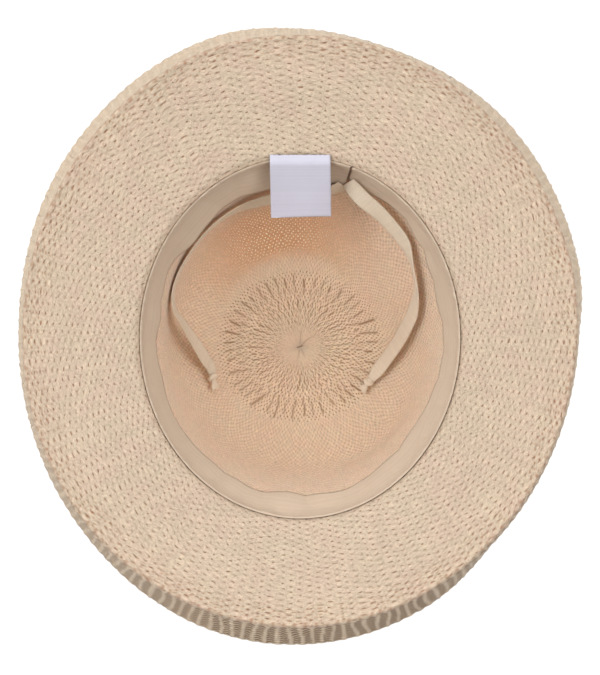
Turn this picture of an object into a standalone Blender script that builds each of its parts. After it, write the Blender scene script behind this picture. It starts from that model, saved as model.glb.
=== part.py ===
"""Knitted sun hat, lying upside down on the tip of its crown.

Lengths are metres and +Z is up. The origin is the middle of the crown's flat tip, on the
surface that the hat lies on. +Y is the back of the hat, where the label and the drawstring
are. An azimuth is in degrees, clockwise from +Y towards +X as seen from above.
"""

import math
from collections import namedtuple

import bmesh
import bpy
from mathutils import Matrix, Vector

# Head opening, measured at the seam between crown and brim
HEAD_WIDTH = 0.1682
HEAD_LENGTH = 0.1896
SEAM_HEIGHT = 0.0990
CLEARANCE = 0.0003

# Crown and brim
CROWN_WALL = 0.0024
BRIM_THICKNESS = 0.0034
BRIM_WIDTH = 0.0555
BRIM_RISE = 0.0060
BRIM_GAP = 0.0005

# Ribbed band past the crease of the brim
RIM_DEPTH = 0.0180
RIM_THICKNESS = 0.0030
CREASE_RADIUS = 0.0035
CREASE_TAB = 0.0015
RIB_COUNT = 166
RIB_HEIGHT = 0.0011

# Sweatband and the slot where its ends meet
BAND_DROP = 0.0250
BAND_THICKNESS = 0.0012
BAND_TOP_STEP = 0.0005
SLOT_AZIMUTH = 16.8
SLOT_WIDTH = 0.0016

# Label
LABEL_WIDTH = 0.0317
LABEL_LENGTH = 0.0375
LABEL_THICKNESS = 0.0010
LABEL_TAB = 0.0030
LABEL_LAP = 0.0008
LABEL_PITCH = 37.0

# Drawstring, a flat ribbon
RIBBON_WIDTH = 0.0090
RIBBON_THICKNESS = 0.0010

KNOT_LENGTH = 0.0085
KNOT_FLATNESS = 0.62
KNOT_SIDES = 10

# Fineness of the faceted surfaces
COLUMNS = 64
BRIM_SPANS = 3
LABEL_SPANS = 8
SPANS_A_LEG = 2
MERGE_DISTANCE = 0.00001
SHARP_ANGLE = 50.0

# Sections of the crown's outer face. Heights are shares of the crown's top edge, and the
# other columns are shares of the head opening's half width and half length.
Section = namedtuple("Section", "height side front back spans")
CROWN_SECTIONS = (
    Section(height=0.000, side=0.486, front=0.453, back=0.453, spans=2),
    Section(height=0.056, side=0.598, front=0.573, back=0.573, spans=2),
    Section(height=0.199, side=0.742, front=0.722, back=0.722, spans=2),
    Section(height=0.409, side=0.837, front=0.801, back=0.800, spans=2),
    Section(height=0.755, side=0.921, front=0.894, back=0.890, spans=2),
    Section(height=0.968, side=1.000, front=1.000, back=1.000, spans=1),
    Section(height=1.000, side=1.000, front=1.000, back=1.000, spans=0),
)

# Dents of the crown. Push is a share of the radius, inward, and reach a share of the height.
Dent = namedtuple("Dent", "azimuth height push spread reach")
CROWN_DENTS = (
    Dent(azimuth=57, height=0.15, push=0.190, spread=52, reach=0.60),
    Dent(azimuth=33, height=0.74, push=-0.085, spread=36, reach=0.30),
    Dent(azimuth=131, height=0.18, push=-0.060, spread=50, reach=0.32),
    Dent(azimuth=285, height=0.22, push=-0.060, spread=60, reach=0.40),
    Dent(azimuth=330, height=0.60, push=-0.030, spread=60, reach=0.40),
)

# Waves of the brim. Width is a share of the brim's width, lift a share of its rise, and
# lean the angle of the ribbed band below level, in degrees.
Wave = namedtuple("Wave", "azimuth width lift lean")
BRIM_WAVES = (
    Wave(azimuth=0, width=1.063, lift=1.50, lean=67),
    Wave(azimuth=15, width=1.070, lift=1.35, lean=80),
    Wave(azimuth=45, width=1.056, lift=1.00, lean=61),
    Wave(azimuth=75, width=1.056, lift=0.55, lean=67),
    Wave(azimuth=100, width=1.008, lift=0.40, lean=96),
    Wave(azimuth=125, width=0.967, lift=0.70, lean=99),
    Wave(azimuth=155, width=0.937, lift=1.30, lean=56),
    Wave(azimuth=190, width=0.946, lift=1.50, lean=42),
    Wave(azimuth=230, width=1.008, lift=0.90, lean=70),
    Wave(azimuth=270, width=1.033, lift=0.50, lean=77),
    Wave(azimuth=310, width=1.047, lift=1.05, lean=60),
    Wave(azimuth=345, width=1.083, lift=1.50, lean=58),
)

# Where the sweatband's lower edge stands off the crown, as a share of its drop
Fold = namedtuple("Fold", "azimuth stand_off")
BAND_FOLDS = (
    Fold(azimuth=0, stand_off=0.12),
    Fold(azimuth=12, stand_off=0.06),
    Fold(azimuth=30, stand_off=0.08),
    Fold(azimuth=60, stand_off=0.00),
    Fold(azimuth=98, stand_off=0.00),
    Fold(azimuth=120, stand_off=0.08),
    Fold(azimuth=165, stand_off=0.00),
    Fold(azimuth=275, stand_off=0.00),
    Fold(azimuth=292, stand_off=0.03),
    Fold(azimuth=312, stand_off=0.17),
    Fold(azimuth=335, stand_off=0.05),
    Fold(azimuth=350, stand_off=0.16),
)

# Routes of the drawstring's two ends, from the slot to their knots. Lean is the angle of the
# ribbon's width above level, its outer edge the higher, and width a share of its full width.
Route = namedtuple("Route", "x y z lean width")
RIGHT_ROUTE = (
    Route(x=0.0256, y=0.0832, z=0.0795, lean=50, width=1.00),
    Route(x=0.0290, y=0.0790, z=0.0785, lean=30, width=1.00),
    Route(x=0.0340, y=0.0740, z=0.0763, lean=26, width=1.00),
    Route(x=0.0395, y=0.0697, z=0.0735, lean=34, width=1.00),
    Route(x=0.0447, y=0.0652, z=0.0711, lean=43, width=1.00),
    Route(x=0.0518, y=0.0575, z=0.0683, lean=48, width=1.00),
    Route(x=0.0562, y=0.0512, z=0.0668, lean=54, width=1.00),
    Route(x=0.0590, y=0.0440, z=0.0650, lean=78, width=1.00),
    Route(x=0.0611, y=0.0365, z=0.0626, lean=90, width=1.00),
    Route(x=0.0627, y=0.0290, z=0.0590, lean=84, width=1.00),
    Route(x=0.0627, y=0.0215, z=0.0540, lean=68, width=1.00),
    Route(x=0.0612, y=0.0140, z=0.0470, lean=50, width=1.00),
    Route(x=0.0578, y=0.0062, z=0.0352, lean=42, width=1.00),
    Route(x=0.0540, y=-0.0010, z=0.0235, lean=42, width=1.00),
    Route(x=0.0490, y=-0.0085, z=0.0145, lean=42, width=1.00),
    Route(x=0.0437, y=-0.0157, z=0.0096, lean=33, width=0.92),
    Route(x=0.0398, y=-0.0208, z=0.0080, lean=28, width=0.55),
)
LEFT_ROUTE = (
    Route(x=0.0230, y=0.0818, z=0.0755, lean=62, width=1.00),
    Route(x=0.0166, y=0.0800, z=0.0708, lean=66, width=1.00),
    Route(x=0.0055, y=0.0784, z=0.0668, lean=64, width=1.00),
    Route(x=-0.0055, y=0.0772, z=0.0635, lean=60, width=1.00),
    Route(x=-0.0150, y=0.0757, z=0.0609, lean=61, width=1.00),
    Route(x=-0.0240, y=0.0735, z=0.0595, lean=67, width=1.00),
    Route(x=-0.0330, y=0.0705, z=0.0587, lean=79, width=1.00),
    Route(x=-0.0430, y=0.0646, z=0.0582, lean=85, width=1.00),
    Route(x=-0.0520, y=0.0563, z=0.0579, lean=88, width=1.00),
    Route(x=-0.0595, y=0.0463, z=0.0570, lean=88, width=1.00),
    Route(x=-0.0655, y=0.0358, z=0.0564, lean=87, width=1.00),
    Route(x=-0.0686, y=0.0259, z=0.0538, lean=85, width=1.00),
    Route(x=-0.0681, y=0.0170, z=0.0492, lean=80, width=1.00),
    Route(x=-0.0650, y=0.0110, z=0.0440, lean=74, width=1.00),
    Route(x=-0.0604, y=0.0034, z=0.0352, lean=64, width=1.00),
    Route(x=-0.0555, y=-0.0046, z=0.0255, lean=54, width=1.00),
    Route(x=-0.0524, y=-0.0100, z=0.0203, lean=52, width=0.95),
    Route(x=-0.0500, y=-0.0140, z=0.0164, lean=50, width=0.78),
    Route(x=-0.0490, y=-0.0180, z=0.0157, lean=44, width=0.50),
)

# Outline of a knot and its flared tail, from the ribbon's end. Along is a share of the knot's
# length and half a share of the ribbon's width.
Turned = namedtuple("Turned", "along half")
KNOT_OUTLINE = (
    Turned(along=0.00, half=0.00),
    Turned(along=0.04, half=0.15),
    Turned(along=0.17, half=0.24),
    Turned(along=0.32, half=0.23),
    Turned(along=0.45, half=0.14),
    Turned(along=0.70, half=0.22),
    Turned(along=1.00, half=0.30),
    Turned(along=1.00, half=0.00),
)

CROWN_TOP = SEAM_HEIGHT - BRIM_THICKNESS - CLEARANCE
FULL_TURN = 360.0


def eased(rows, column, place, period=None):
    """Value of a table's column between its rows, smooth and with no overshoot."""
    places = [row[0] for row in rows]
    values = [getattr(row, column) for row in rows]
    if period:
        place = place % period
        places = [p - period for p in places[-2:]] + places + [p + period for p in places[:2]]
        values = values[-2:] + values + values[:2]
    rates = [(v1 - v0) / (p1 - p0) for p0, p1, v0, v1 in
             zip(places, places[1:], values, values[1:])]
    slopes = [rates[0]]
    for before, after in zip(rates, rates[1:]):
        slopes.append(2 * before * after / (before + after) if before * after > 0 else 0.0)
    slopes.append(rates[-1])
    span = max(i for i, p in enumerate(places[:-1]) if p <= place or i == 0)
    length = places[span + 1] - places[span]
    t = (place - places[span]) / length
    rise = 3 * t ** 2 - 2 * t ** 3
    lean_in = (t ** 3 - 2 * t ** 2 + t) * length * slopes[span]
    lean_out = (t ** 3 - t ** 2) * length * slopes[span + 1]
    return values[span] * (1 - rise) + values[span + 1] * rise + lean_in + lean_out


def swell(distance, reach):
    """Soft hump, 1 at no distance and 0 at the reach and past it."""
    if abs(distance) >= reach:
        return 0.0
    return 0.5 + 0.5 * math.cos(math.pi * distance / reach)


def turn_between(azimuth, other):
    """Smallest turn between two azimuths, in degrees."""
    return (azimuth - other + FULL_TURN / 2) % FULL_TURN - FULL_TURN / 2


def oval(half_width, half_length, azimuth):
    """Radius of an oval in a direction."""
    angle = math.radians(azimuth)
    return 1 / math.hypot(math.sin(angle) / half_width, math.cos(angle) / half_length)


def polar(azimuth, radius, height):
    """Point at an azimuth, radius and height."""
    angle = math.radians(azimuth)
    return Vector((math.sin(angle) * radius, math.cos(angle) * radius, height))


def seam_radius(azimuth):
    """Radius of the head opening at the seam."""
    return oval(HEAD_WIDTH / 2, HEAD_LENGTH / 2, azimuth)


def crown_radius(azimuth, height):
    """Radius of the crown's outer face, with its dents."""
    share = min(height / CROWN_TOP, 1.0)
    end = "back" if math.cos(math.radians(azimuth)) > 0 else "front"
    half_width = (HEAD_WIDTH / 2 + CROWN_WALL) * eased(CROWN_SECTIONS, "side", share)
    half_length = (HEAD_LENGTH / 2 + CROWN_WALL) * eased(CROWN_SECTIONS, end, share)
    radius = oval(half_width, half_length, azimuth)
    for dent in CROWN_DENTS:
        turn = swell(turn_between(azimuth, dent.azimuth), dent.spread)
        radius *= 1 - dent.push * turn * swell(share - dent.height, dent.reach)
    return radius


def crown_rings():
    """Heights of the crown's rings of points, from its tip to its top edge."""
    shares = []
    for lower, upper in zip(CROWN_SECTIONS, CROWN_SECTIONS[1:]):
        step = (upper.height - lower.height) / lower.spans
        shares += [lower.height + step * i for i in range(lower.spans)]
    return [CROWN_TOP * share for share in shares + [CROWN_SECTIONS[-1].height]]


def crown_inside(azimuth, height):
    """Radius of the crown's inner face, its wall measured level through the slope."""
    rings = crown_rings()
    upper = min([ring for ring in rings if ring > height], default=rings[-1])
    lower = max(ring for ring in rings if ring < upper)
    high = crown_radius(azimuth, upper)
    low = crown_radius(azimuth, lower)
    rate = (high - low) / (upper - lower)
    return low + rate * (height - lower) - CROWN_WALL * math.hypot(1, rate)


def crease_start(azimuth):
    """Radius and height at which the brim ends and its crease begins, on the upper face."""
    width = BRIM_WIDTH * eased(BRIM_WAVES, "width", azimuth, FULL_TURN)
    lift = BRIM_RISE * eased(BRIM_WAVES, "lift", azimuth, FULL_TURN)
    return seam_radius(azimuth) + width, SEAM_HEIGHT + lift


def brim_point(azimuth, share):
    """Point of the brim's upper face, from the seam at 0 to the crease at 1."""
    radius, height = crease_start(azimuth)
    inner = seam_radius(azimuth)
    return polar(azimuth, inner + (radius - BRIM_GAP - inner) * share,
                 SEAM_HEIGHT + (height - SEAM_HEIGHT) * share)


def wrapped(columns, rows, place):
    """Open surface: a grid laid over the shares across and down, seam and pole welded."""
    bm = bmesh.new()
    bmesh.ops.create_grid(bm, x_segments=columns, y_segments=rows, size=0.5)
    for vert in bm.verts:
        vert.co = place(vert.co.x + 0.5, vert.co.y + 0.5)
    bmesh.ops.remove_doubles(bm, verts=bm.verts, dist=MERGE_DISTANCE)
    return bm


def material(name, colour, roughness):
    """Plain cloth material."""
    mat = bpy.data.materials.new(name)
    mat.use_nodes = True
    shader = mat.node_tree.nodes["Principled BSDF"]
    shader.inputs["Base Color"].default_value = (*colour, 1.0)
    shader.inputs["Roughness"].default_value = roughness
    shader.inputs["Metallic"].default_value = 0.0
    return mat


def piece(name, bm, thickness, mat, collection):
    """Named object from an open surface, given its thickness on the side it faces away from."""
    mesh = bpy.data.meshes.new(name)
    bm.to_mesh(mesh)
    bm.free()
    mesh.materials.append(mat)
    obj = bpy.data.objects.new(name, mesh)
    collection.objects.link(obj)
    shell = obj.modifiers.new("Cloth", "SOLIDIFY")
    shell.thickness = thickness
    shell.offset = -1.0
    shell.use_even_offset = True
    shell.use_quality_normals = True
    mesh.shade_smooth()
    mesh.set_sharp_from_angle(angle=math.radians(SHARP_ANGLE))
    return obj


def add_crown(collection):
    """Bowl from its top edge down to the middle of its flat tip."""
    rings = crown_rings()

    def place(across, down):
        ring = round((1 - down) * len(rings)) - 1
        if ring < 0:
            return Vector((0.0, 0.0, 0.0))
        azimuth = across * FULL_TURN
        return polar(azimuth, crown_radius(azimuth, rings[ring]), rings[ring])

    bm = wrapped(COLUMNS, len(rings), place)
    mat = material("crown_knit", (0.76, 0.58, 0.40), 0.90)
    return piece("crown", bm, CROWN_WALL, mat, collection)


def add_brim(collection):
    """Ring from the seam out to the crease, its upper face the one that is seen."""
    bm = wrapped(COLUMNS, BRIM_SPANS, lambda across, out: brim_point(across * FULL_TURN, out))
    mat = material("brim_knit", (0.80, 0.63, 0.45), 0.90)
    return piece("brim", bm, BRIM_THICKNESS, mat, collection)


def rim_point(azimuth, length, rib):
    """Point of the ribbed band at a length of cloth past the brim's edge.

    The cloth leaves at the brim's slope, turns over the crease and runs straight to its edge.
    """
    radius, height = crease_start(azimuth)
    slope = math.atan2(height - SEAM_HEIGHT, radius - seam_radius(azimuth))
    lean = math.radians(eased(BRIM_WAVES, "lean", azimuth, FULL_TURN))
    tab = min(length, CREASE_TAB)
    heading = min(-slope + (length - tab) / CREASE_RADIUS, lean)
    straight = length - tab - CREASE_RADIUS * (heading + slope)
    out = tab * math.cos(slope) + CREASE_RADIUS * (math.sin(heading) + math.sin(slope))
    drop = -tab * math.sin(slope) + CREASE_RADIUS * (math.cos(slope) - math.cos(heading))
    out += straight * math.cos(lean)
    drop += straight * math.sin(lean)
    raised = rib * RIB_HEIGHT * (heading + slope) / (lean + slope)
    out += raised * math.sin(heading)
    drop -= raised * math.cos(heading)
    return polar(azimuth, radius + out, height - drop)


def add_rim_band(collection):
    """Ribbed band: round the crease and down, two columns to each rib."""
    columns = 2 * RIB_COUNT
    lengths = (0.0, CREASE_TAB, CREASE_TAB + CREASE_RADIUS, RIM_DEPTH)

    def place(across, down):
        column = round(across * columns)
        rib = 0.0 if column % 2 else -1.0
        return rim_point(across * FULL_TURN, lengths[round(down * (len(lengths) - 1))], rib)

    bm = wrapped(columns, len(lengths) - 1, place)
    mat = material("rim_knit", (0.78, 0.62, 0.45), 0.90)
    return piece("rim_band", bm, RIM_THICKNESS, mat, collection)


def band_radius(azimuth, drop):
    """Radius of the sweatband's outer face at a drop below the seam."""
    height = SEAM_HEIGHT - drop
    stand_off = BAND_DROP * eased(BAND_FOLDS, "stand_off", azimuth, FULL_TURN)
    seat = min(seam_radius(azimuth), crown_inside(azimuth, min(height, CROWN_TOP)))
    return seat - CLEARANCE - stand_off * (drop / BAND_DROP) ** 2


def band_drops():
    """Drops below the seam of the sweatband's rows, bent where the crown is."""
    rings = [SEAM_HEIGHT - ring for ring in crown_rings() if ring < CROWN_TOP]
    inner = [drop for drop in reversed(rings) if drop < BAND_DROP]
    return [BAND_TOP_STEP, *inner, BAND_DROP]


def add_sweatband(collection):
    """Strip round the opening, from one side of the slot to the other."""
    half_slot = math.degrees(SLOT_WIDTH / 2 / seam_radius(SLOT_AZIMUTH))
    drops = band_drops()

    def place(across, down):
        azimuth = SLOT_AZIMUTH + half_slot + across * (FULL_TURN - 2 * half_slot)
        drop = drops[round(down * (len(drops) - 1))]
        return polar(azimuth, band_radius(azimuth, drop), SEAM_HEIGHT - drop)

    bm = wrapped(COLUMNS, len(drops) - 1, place)
    mat = material("sweatband_tape", (0.60, 0.50, 0.36), 0.70)
    return piece("sweatband", bm, BAND_THICKNESS, mat, collection)


def label_seat():
    """Height of the brim's upper face under the outer corners of the label's sewn edge."""
    corner = Vector((LABEL_WIDTH / 2, HEAD_LENGTH / 2 + LABEL_LAP))
    azimuth = math.degrees(math.atan2(corner.x, corner.y))
    inner = seam_radius(azimuth)
    radius, height = crease_start(azimuth)
    return SEAM_HEIGHT + (height - SEAM_HEIGHT) * (corner.length - inner) / (radius - inner)


def label_edge():
    """Points along the label, as pairs of a run inwards and a height, sewn edge first."""
    step = LABEL_LENGTH / LABEL_SPANS
    points = [(0.0, 0.0)]
    for span in range(LABEL_SPANS):
        middle = (span + 0.5) * step - LABEL_TAB
        pitch = math.radians(LABEL_PITCH * min(max(middle / LABEL_TAB, 0.0), 1.0))
        run, height = points[-1]
        points.append((run + step * math.cos(pitch), height - step * math.sin(pitch)))
    return points


def add_label(collection):
    """Tag sewn over the seam at the back and hanging into the opening."""
    edge = label_edge()
    start = HEAD_LENGTH / 2 + LABEL_LAP
    base = label_seat() + CLEARANCE + LABEL_THICKNESS

    def place(across, down):
        run, height = edge[round(down * LABEL_SPANS)]
        return Vector((LABEL_WIDTH * (across - 0.5), start - run, base + height))

    bm = wrapped(2, LABEL_SPANS, place)
    bmesh.ops.reverse_faces(bm, faces=bm.faces)
    mat = material("label_cloth", (0.80, 0.78, 0.86), 0.75)
    return piece("label", bm, LABEL_THICKNESS, mat, collection)


def smooth_route(route):
    """Rows of a route with more between them, on a smooth curve through the chosen ones."""
    points = []
    ends = (route[0], *route, route[-1])
    for before, start, end, after in zip(ends, ends[1:], ends[2:], ends[3:]):
        for step in range(SPANS_A_LEG):
            t = step / SPANS_A_LEG
            points.append(Route(*(
                0.5 * (2 * b + (c - a) * t + (2 * a - 5 * b + 4 * c - d) * t ** 2
                       + (3 * b - a - 3 * c + d) * t ** 3)
                for a, b, c, d in zip(before, start, end, after))))
    return points + [route[-1]]


def ribbon_axes(points, index):
    """Place, direction along the ribbon and direction across it at a point of a route."""
    here = Vector(points[index][:3])
    after = Vector(points[min(index + 1, len(points) - 1)][:3])
    along = (after - Vector(points[max(index - 1, 0)][:3])).normalized()
    level = along.cross(Vector((0, 0, 1))).normalized()
    if level.dot(here) < 0:
        level.negate()
    upward = along.cross(level)
    if upward.z < 0:
        upward.negate()
    lean = math.radians(points[index].lean)
    return here, along, level * math.cos(lean) + upward * math.sin(lean)


def add_ribbon(collection, name, route, mat):
    """Flat ribbon along a route, narrowed where it is gathered into its knot."""
    points = smooth_route(route)

    def place(along, over):
        index = round(along * (len(points) - 1))
        here, _, across = ribbon_axes(points, index)
        return here + across * RIBBON_WIDTH * points[index].width * (over - 0.5)

    bm = wrapped(len(points) - 1, 1, place)
    ribbon = piece(name, bm, RIBBON_THICKNESS, mat, collection)
    ribbon.modifiers["Cloth"].offset = 0.0
    return ribbon


def add_knot(collection, name, route, mat):
    """Knot and flared tail, turned, pressed flat and set a clearance past the ribbon's end."""
    points = smooth_route(route)
    here, along, across = ribbon_axes(points, len(points) - 1)
    bm = bmesh.new()
    outline = [bm.verts.new((row.half * RIBBON_WIDTH, 0.0, -row.along * KNOT_LENGTH))
               for row in KNOT_OUTLINE]
    edges = [bm.edges.new(pair) for pair in zip(outline, outline[1:])]
    bmesh.ops.spin(bm, geom=outline + edges, cent=(0, 0, 0), axis=(0, 0, 1),
                   angle=math.tau, steps=KNOT_SIDES, use_merge=True)
    bmesh.ops.remove_doubles(bm, verts=bm.verts, dist=MERGE_DISTANCE)
    bmesh.ops.scale(bm, vec=(1.0, KNOT_FLATNESS, 1.0), verts=bm.verts)
    bmesh.ops.recalc_face_normals(bm, faces=bm.faces)
    mesh = bpy.data.meshes.new(name)
    bm.to_mesh(mesh)
    bm.free()
    mesh.materials.append(mat)
    mesh.shade_smooth()
    knot = bpy.data.objects.new(name, mesh)
    collection.objects.link(knot)
    knot.location = here + along * CLEARANCE
    turned = Matrix((across, across.cross(along), -along)).transposed()
    knot.rotation_euler = turned.to_euler()
    return knot


def add_drawstring(collection):
    """Both free ends of the drawstring, each with its knot."""
    mat = material("drawstring_ribbon", (0.66, 0.58, 0.44), 0.55)
    for side, route in (("right", RIGHT_ROUTE), ("left", LEFT_ROUTE)):
        add_ribbon(collection, f"drawstring_{side}", route, mat)
        add_knot(collection, f"drawstring_{side}_knot", route, mat)


def main():
    """Clear the scene and build the hat."""
    for obj in list(bpy.data.objects):
        bpy.data.objects.remove(obj, do_unlink=True)
    hat = bpy.data.collections.new("sun_hat")
    bpy.context.scene.collection.children.link(hat)
    add_crown(hat)
    add_brim(hat)
    add_rim_band(hat)
    add_sweatband(hat)
    add_label(hat)
    add_drawstring(hat)


main()
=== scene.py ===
"""Looks of a knitted sun hat that lies upside down on the tip of its crown.

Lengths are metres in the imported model's frame: +Z is up, +Y is the back of the hat and the
origin is the middle of the crown's flat tip. An azimuth is in degrees, clockwise from +Y
towards +X as seen from above. Knitted pieces carry a map of stitch counts, wales round the hat
and courses along the cloth, which the relief of their meshes and their materials both follow.
"""

from __future__ import annotations

import logging
import math
from dataclasses import dataclass, field
from enum import Enum
from typing import Any, Callable, NamedTuple, Sequence

import bpy
import numpy as np
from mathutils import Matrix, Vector


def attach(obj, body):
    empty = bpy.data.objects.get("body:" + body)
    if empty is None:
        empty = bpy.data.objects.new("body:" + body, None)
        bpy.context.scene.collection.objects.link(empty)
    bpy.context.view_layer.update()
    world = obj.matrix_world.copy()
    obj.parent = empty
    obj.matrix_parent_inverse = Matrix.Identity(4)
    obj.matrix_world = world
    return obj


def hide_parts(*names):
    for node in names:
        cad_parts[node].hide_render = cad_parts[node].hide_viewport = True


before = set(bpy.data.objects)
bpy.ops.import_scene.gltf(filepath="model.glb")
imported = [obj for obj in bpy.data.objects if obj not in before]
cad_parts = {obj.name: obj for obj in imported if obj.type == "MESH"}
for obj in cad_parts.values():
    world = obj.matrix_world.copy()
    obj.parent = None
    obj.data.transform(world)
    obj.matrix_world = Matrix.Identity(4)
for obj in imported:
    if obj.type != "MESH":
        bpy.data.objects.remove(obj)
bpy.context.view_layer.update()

LOG = logging.getLogger("sun_hat")
FULL_TURN = 360.0
HALF_TURN = 180.0
BODY = "root"
STITCH_MAP = "stitches"

Array = np.ndarray
Colour = tuple[float, float, float]
Piece = bpy.types.Object
Finish = bpy.types.Material


class Section(NamedTuple):
    """Share of the crown's height, with its half axes as shares of the head opening's."""

    height: float
    side: float
    front: float
    back: float


class Dent(NamedTuple):
    """Dent of the crown: push is a share of the radius, reach a share of the height."""

    azimuth: float
    height: float
    push: float
    spread: float
    reach: float


class Wave(NamedTuple):
    """Wave of the brim: shares of its width and rise, and the rim's lean in degrees."""

    azimuth: float
    width: float
    lift: float
    lean: float


class Fold(NamedTuple):
    """Where the sweatband's lower edge stands off the crown, as a share of its drop."""

    azimuth: float
    stand_off: float


class Route(NamedTuple):
    """Point of a ribbon's middle line, the lean of its width and its share of full width."""

    x: float
    y: float
    z: float
    lean: float
    width: float = 1.0


class Round(NamedTuple):
    """Round of long stitches in the crown's tip: radii in metres, slots round and depth."""

    inner: float
    outer: float
    slots: int
    turn: float
    depth: float
    sharp: float


class Crease(NamedTuple):
    """Crease that winds out from the tip's middle: its heading there and its reach."""

    heading: float
    reach: float


def table(kind: type, rows: Sequence[tuple[float, ...]]) -> tuple[Any, ...]:
    """Rows of numbers as rows of a kind, one number to a field."""
    return tuple(kind(*row) for row in rows)


CROWN_SECTIONS = table(Section, (
    (0.000, 0.486, 0.453, 0.453),
    (0.056, 0.598, 0.573, 0.573),
    (0.199, 0.742, 0.722, 0.722),
    (0.409, 0.837, 0.801, 0.800),
    (0.755, 0.921, 0.894, 0.890),
    (0.968, 1.000, 1.000, 1.000),
    (1.000, 1.000, 1.000, 1.000),
))

CROWN_DENTS = table(Dent, (
    (57, 0.15, 0.190, 52, 0.60),
    (33, 0.74, -0.085, 36, 0.30),
    (131, 0.18, -0.060, 50, 0.32),
    (285, 0.22, -0.060, 60, 0.40),
    (330, 0.60, -0.030, 60, 0.40),
))

BRIM_WAVES = table(Wave, (
    (0, 1.063, 1.50, 67),
    (15, 1.070, 1.35, 80),
    (45, 1.056, 1.00, 61),
    (75, 1.056, 0.55, 67),
    (100, 1.008, 0.40, 96),
    (125, 0.967, 0.70, 99),
    (155, 0.937, 1.30, 56),
    (190, 0.946, 1.50, 42),
    (230, 1.008, 0.90, 70),
    (270, 1.033, 0.50, 77),
    (310, 1.047, 1.05, 60),
    (345, 1.083, 1.50, 58),
))

BAND_FOLDS = table(Fold, (
    (0, 0.12),
    (12, 0.06),
    (30, 0.08),
    (60, 0.00),
    (98, 0.00),
    (120, 0.08),
    (165, 0.00),
    (275, 0.00),
    (301, 0.01),
    (314, 0.17),
    (335, 0.05),
    (350, 0.16),
))

RIGHT_ROUTE = table(Route, (
    (0.0256, 0.0832, 0.0795, 50),
    (0.0290, 0.0790, 0.0785, 30),
    (0.0340, 0.0740, 0.0763, 26),
    (0.0395, 0.0697, 0.0735, 34),
    (0.0447, 0.0652, 0.0711, 43),
    (0.0518, 0.0575, 0.0683, 48),
    (0.0562, 0.0512, 0.0668, 54),
    (0.0590, 0.0440, 0.0650, 78),
    (0.0611, 0.0365, 0.0626, 90),
    (0.0627, 0.0290, 0.0590, 84),
    (0.0627, 0.0215, 0.0540, 68),
    (0.0612, 0.0140, 0.0470, 50),
    (0.0578, 0.0062, 0.0352, 42),
    (0.0540, -0.0010, 0.0235, 42),
    (0.0490, -0.0085, 0.0145, 42),
    (0.0437, -0.0157, 0.0096, 33, 0.92),
    (0.0398, -0.0208, 0.0080, 28, 0.55),
))

LEFT_ROUTE = table(Route, (
    (0.0230, 0.0818, 0.0755, 62),
    (0.0166, 0.0800, 0.0708, 66),
    (0.0055, 0.0784, 0.0668, 64),
    (-0.0055, 0.0772, 0.0635, 60),
    (-0.0150, 0.0757, 0.0609, 61),
    (-0.0240, 0.0735, 0.0595, 67),
    (-0.0330, 0.0705, 0.0587, 79),
    (-0.0430, 0.0646, 0.0582, 85),
    (-0.0520, 0.0563, 0.0579, 88),
    (-0.0595, 0.0463, 0.0570, 88),
    (-0.0655, 0.0358, 0.0564, 87),
    (-0.0686, 0.0259, 0.0538, 85),
    (-0.0681, 0.0170, 0.0492, 80),
    (-0.0650, 0.0110, 0.0440, 74),
    (-0.0604, 0.0034, 0.0352, 64),
    (-0.0555, -0.0046, 0.0255, 54),
    (-0.0524, -0.0100, 0.0203, 52, 0.95),
    (-0.0500, -0.0140, 0.0164, 50, 0.78),
    (-0.0490, -0.0180, 0.0157, 44, 0.50),
))

TIP_ROUNDS = table(Round, (
    (0.0056, 0.0082, 30, 0.0, 0.00014, 3.0),
    (0.0080, 0.0106, 36, 0.5, 0.00026, 4.0),
    (0.0104, 0.0136, 44, 0.0, 0.00044, 5.0),
    (0.0136, 0.0172, 48, 0.5, 0.00064, 6.0),
    (0.0172, 0.0226, 54, 0.0, 0.00078, 8.0),
    (0.0220, 0.0268, 56, 0.5, 0.00086, 9.0),
    (0.0266, 0.0302, 66, 0.0, 0.00050, 7.0),
    (0.0298, 0.0344, 56, 0.5, 0.00066, 9.0),
    (0.0336, 0.0414, 44, 0.5, 0.00088, 13.0),
))

TIP_CREASES = table(Crease, (
    (358, 0.0110),
    (42, 0.0140),
    (184, 0.0100),
    (150, 0.0075),
))

# Radii of the outer and the inner rounds of the tip, which have fewer stitches each time
TIP_ZONES = (0.0440, 0.0310)


# Numbers and curves


def eased(rows: Sequence[NamedTuple], column: str, place: Array | float,
          period: float | None = None) -> Array:
    """Read a table's column between its rows, smoothly and with no overshoot.

    Args:
        rows: The table, its first column rising.
        column: Name of the column to read.
        place: Where to read it, in the first column's units.
        period: Length after which the table repeats, if it does.

    Returns:
        The column's values at those places.
    """
    places = np.array([row[0] for row in rows], float)
    values = np.array([getattr(row, column) for row in rows], float)
    place = np.asarray(place, float)
    if period:
        place = place % period
        places = np.concatenate([places[-2:] - period, places, places[:2] + period])
        values = np.concatenate([values[-2:], values, values[:2]])
    steps = np.diff(places)
    rates = np.diff(values) / steps
    product = rates[:-1] * rates[1:]
    total = rates[:-1] + rates[1:]
    inner = np.where(product > 0, 2 * product / np.where(total == 0, 1, total), 0.0)
    slopes = np.concatenate([rates[:1], inner, rates[-1:]])
    span = np.clip(np.searchsorted(places, place, side="right") - 1, 0, len(steps) - 1)
    length = steps[span]
    t = (place - places[span]) / length
    rise = 3 * t**2 - 2 * t**3
    lean_in = (t**3 - 2 * t**2 + t) * length * slopes[span]
    lean_out = (t**3 - t**2) * length * slopes[span + 1]
    return values[span] * (1 - rise) + values[span + 1] * rise + lean_in + lean_out


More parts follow.
